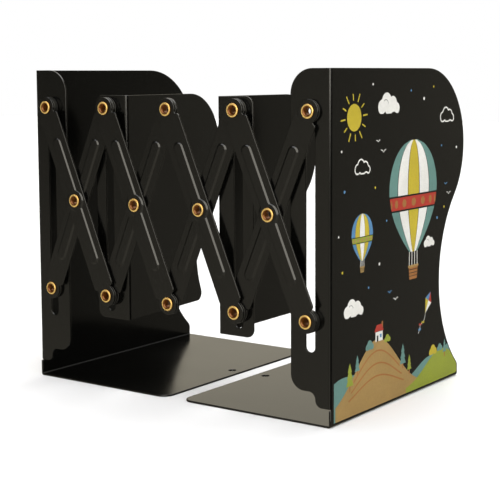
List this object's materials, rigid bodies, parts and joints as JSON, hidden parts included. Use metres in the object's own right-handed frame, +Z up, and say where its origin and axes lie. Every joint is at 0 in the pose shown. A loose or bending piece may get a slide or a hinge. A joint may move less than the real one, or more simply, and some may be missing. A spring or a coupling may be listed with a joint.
{
  "type": "desktop book rack",
  "caption": "Expandable desktop book rack: bent steel end plates on folded bases, joined by a riveted scissor lattice that carries hanging dividers.",
  "frame": {"origin": "centre of the rack's overall box at the level of the bases' undersides", "axes": "+X from the left end plate to the right one, +Y from the lattice to the back, +Z up"},
  "size_m": [0.2194, 0.1638, 0.195],
  "materials": {
    "coat": "satin black powder coat",
    "arm_coat": "semi-gloss black powder coat",
    "rivet": "polished",
    "ring": "dark plated"
  },
  "bodies": {
    "left_end": {"left_end_plate": "coat", "top_rivet_1": "rivet", "top_collar_1": "ring"},
    "front_link_1": {"front_arm_1": "arm_coat", "middle_rivet_1": "rivet", "bottom_rivet_2": "rivet", "bottom_spacer_2": "ring", "bottom_washer_2": "ring"},
    "front_link_2": {"front_arm_2": "arm_coat", "middle_rivet_2": "rivet", "top_rivet_2": "rivet", "top_spacer_2": "ring", "top_washer_2": "ring", "bottom_rivet_3": "rivet", "bottom_spacer_3": "ring"},
    "front_link_3": {"front_arm_3": "arm_coat", "middle_rivet_3": "rivet", "top_rivet_3": "rivet", "top_spacer_3": "ring", "bottom_rivet_4": "rivet", "bottom_spacer_4": "ring", "bottom_washer_4": "ring"},
    "front_link_4": {"front_arm_4": "arm_coat", "middle_rivet_4": "rivet", "top_rivet_4": "rivet", "top_spacer_4": "ring", "top_washer_4": "ring", "bottom_rivet_5": "rivet", "bottom_collar_5": "ring"},
    "rear_link_1": {"rear_arm_1": "arm_coat", "bottom_rivet_1": "rivet", "bottom_washer_1": "ring"},
    "rear_link_2": {"rear_arm_2": "arm_coat"},
    "rear_link_3": {"rear_arm_3": "arm_coat"},
    "rear_link_4": {"rear_arm_4": "arm_coat"},
    "left_leaf": {"left_divider": "coat"},
    "right_leaf": {"right_divider": "coat"},
    "right_end": {"right_end_plate": "coat", "top_rivet_5": "rivet", "top_washer_5": "ring"}
  },
  "joints": [
    {"name": "lattice_opening", "type": "hinge", "parent": "left_end", "child": "front_link_1", "pos_m": [-0.0966, -0.0784, 0.172], "axis": [0, -1, 0], "range_deg": [-1.35, 55]},
    {"name": "crossing_1", "type": "hinge", "parent": "front_link_1", "child": "rear_link_1", "pos_m": [-0.07245, -0.0784, 0.1151], "axis": [0, -1, 0], "range_deg": [-110, 2.7]},
    {"name": "top_pivot_2", "type": "hinge", "parent": "rear_link_1", "child": "front_link_2", "pos_m": [-0.0483, -0.0784, 0.172], "axis": [0, -1, 0], "range_deg": [-2.7, 110]},
    {"name": "crossing_2", "type": "hinge", "parent": "front_link_2", "child": "rear_link_2", "pos_m": [-0.02415, -0.0784, 0.1151], "axis": [0, -1, 0], "range_deg": [-110, 2.7]},
    {"name": "top_pivot_3", "type": "hinge", "parent": "rear_link_2", "child": "front_link_3", "pos_m": [0, -0.0784, 0.172], "axis": [0, -1, 0], "range_deg": [-2.7, 110]},
    {"name": "crossing_3", "type": "hinge", "parent": "front_link_3", "child": "rear_link_3", "pos_m": [0.02415, -0.0784, 0.1151], "axis": [0, -1, 0], "range_deg": [-110, 2.7]},
    {"name": "top_pivot_4", "type": "hinge", "parent": "rear_link_3", "child": "front_link_4", "pos_m": [0.0483, -0.0784, 0.172], "axis": [0, -1, 0], "range_deg": [-2.7, 110]},
    {"name": "crossing_4", "type": "hinge", "parent": "front_link_4", "child": "rear_link_4", "pos_m": [0.07245, -0.0784, 0.1151], "axis": [0, -1, 0], "range_deg": [-110, 2.7]},
    {"name": "right_end_pivot", "type": "hinge", "parent": "rear_link_4", "child": "right_end", "pos_m": [0.0966, -0.0784, 0.172], "axis": [0, -1, 0], "range_deg": [-1.35, 55]},
    {"name": "left_leaf_pivot", "type": "hinge", "parent": "front_link_2", "child": "left_leaf", "pos_m": [-0.0483, -0.0784, 0.172], "axis": [0, -1, 0], "range_deg": [-55, 1.35]},
    {"name": "right_leaf_pivot", "type": "hinge", "parent": "front_link_4", "child": "right_leaf", "pos_m": [0.0483, -0.0784, 0.172], "axis": [0, -1, 0], "range_deg": [-55, 1.35]}
  ],
  "couplings": [
    {"joint": "crossing_1", "follows": "lattice_opening", "ratio": -2},
    {"joint": "top_pivot_2", "follows": "lattice_opening", "ratio": 2},
    {"joint": "crossing_2", "follows": "lattice_opening", "ratio": -2},
    {"joint": "top_pivot_3", "follows": "lattice_opening", "ratio": 2},
    {"joint": "crossing_3", "follows": "lattice_opening", "ratio": -2},
    {"joint": "top_pivot_4", "follows": "lattice_opening", "ratio": 2},
    {"joint": "crossing_4", "follows": "lattice_opening", "ratio": -2},
    {"joint": "right_end_pivot", "follows": "lattice_opening", "ratio": 1},
    {"joint": "left_leaf_pivot", "follows": "lattice_opening", "ratio": -1},
    {"joint": "right_leaf_pivot", "follows": "lattice_opening", "ratio": -1}
  ]
}
